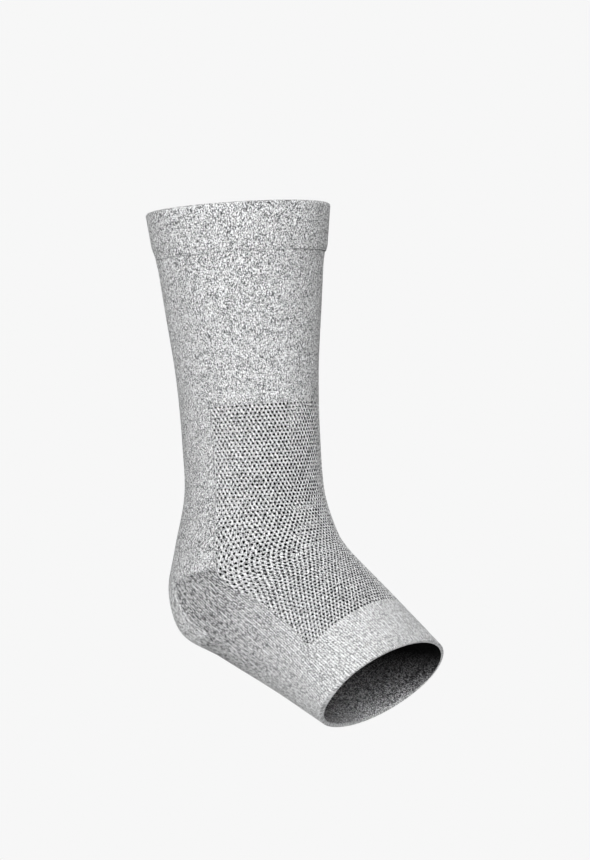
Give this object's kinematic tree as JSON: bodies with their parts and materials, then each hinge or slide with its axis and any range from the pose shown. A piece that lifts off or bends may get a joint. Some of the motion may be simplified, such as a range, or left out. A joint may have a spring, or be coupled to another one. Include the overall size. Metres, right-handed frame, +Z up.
{
  "type": "ankle brace",
  "caption": "Open-toed, open-topped knitted ankle sleeve in its worn shape, with a thick top band, an openwork front panel, a heel pocket and a bound toe edge.",
  "frame": {"origin": "the middle of the ankle, in the hollow of the sleeve, where the wearer's ankle sits", "axes": "+Z up along the leg towards the top rim, the toes point to -Y, the wearer's left is +X; the sleeve is alike on both sides of the YZ plane"},
  "size_m": [0.0986, 0.1733, 0.2808],
  "materials": {
    "band_knit": "heather grey double knit",
    "plain_knit": "heather grey plain knit",
    "mesh_knit": "heather grey openwork knit",
    "heel_knit": "heather grey dense knit",
    "rib_knit": "heather grey fine rib knit",
    "hem_knit": "heather grey bound edge"
  },
  "bodies": {
    "root": {"cuff_band": "band_knit", "leg_tube": "plain_knit", "front_mesh_panel": "mesh_knit", "heel_cup": "heel_knit", "foot_tube": "rib_knit", "toe_hem": "hem_knit"}
  },
  "joints": []
}
